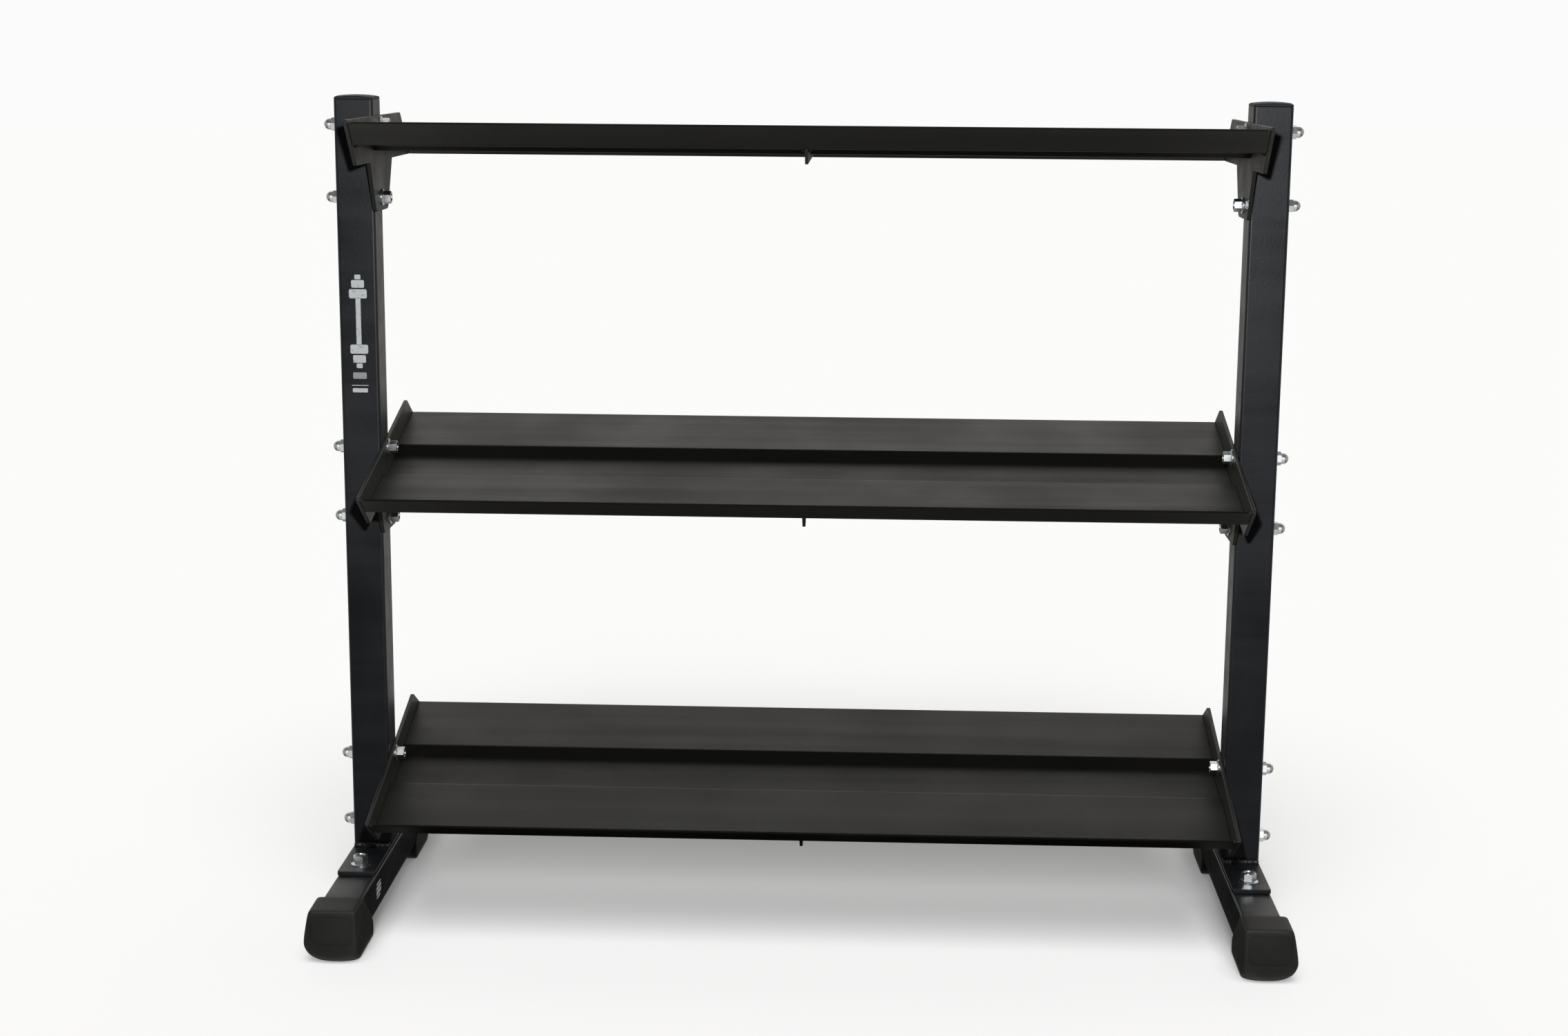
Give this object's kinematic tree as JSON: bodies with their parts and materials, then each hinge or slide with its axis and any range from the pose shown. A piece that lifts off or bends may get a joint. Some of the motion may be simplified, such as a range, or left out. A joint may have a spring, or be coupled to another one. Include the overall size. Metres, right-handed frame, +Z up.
{
  "type": "dumbbell rack",
  "caption": "Free-standing dumbbell rack: bent-sheet trays between bolted end plates on square tube uprights, with booted feet.",
  "frame": {"origin": "centre of the footprint, on the floor", "axes": "+Z up, +X along the trays to the user's right, -Y towards the user"},
  "size_m": [1.2676, 0.5224, 1.0915],
  "materials": {
    "black_powder_coat": "satin textured",
    "boot_rubber": "matte",
    "cap_plastic": "matte",
    "zinc_steel": "bright zinc",
    "plain_steel": "plain"
  },
  "bodies": {
    "root": {"left_upright": "black_powder_coat", "left_upright_cap": "cap_plastic", "left_base_plate": "black_powder_coat", "left_base_welds": "black_powder_coat", "left_foot_tube": "black_powder_coat", "left_front_boot": "boot_rubber", "left_rear_boot": "boot_rubber", "left_foot_bolts": "zinc_steel", "left_foot_weld_nuts": "plain_steel", "right_upright": "black_powder_coat", "right_upright_cap": "cap_plastic", "right_base_plate": "black_powder_coat", "right_base_welds": "black_powder_coat", "right_foot_tube": "black_powder_coat", "right_front_boot": "boot_rubber", "right_rear_boot": "boot_rubber", "right_foot_bolts": "zinc_steel", "right_foot_weld_nuts": "plain_steel", "top_tray": "black_powder_coat", "top_centre_rib": "black_powder_coat", "top_tray_welds": "black_powder_coat", "top_left_end_plate": "black_powder_coat", "top_left_bolts": "zinc_steel", "top_left_acorn_nuts": "zinc_steel", "top_right_end_plate": "black_powder_coat", "top_right_bolts": "zinc_steel", "top_right_acorn_nuts": "zinc_steel", "middle_tray": "black_powder_coat", "middle_centre_rib": "black_powder_coat", "middle_tray_welds": "black_powder_coat", "middle_left_end_plate": "black_powder_coat", "middle_left_bolts": "zinc_steel", "middle_left_acorn_nuts": "zinc_steel", "middle_right_end_plate": "black_powder_coat", "middle_right_bolts": "zinc_steel", "middle_right_acorn_nuts": "zinc_steel", "bottom_tray": "black_powder_coat", "bottom_centre_rib": "black_powder_coat", "bottom_tray_welds": "black_powder_coat", "bottom_left_end_plate": "black_powder_coat", "bottom_left_bolts": "zinc_steel", "bottom_left_acorn_nuts": "zinc_steel", "bottom_right_end_plate": "black_powder_coat", "bottom_right_bolts": "zinc_steel", "bottom_right_acorn_nuts": "zinc_steel"}
  },
  "joints": []
}
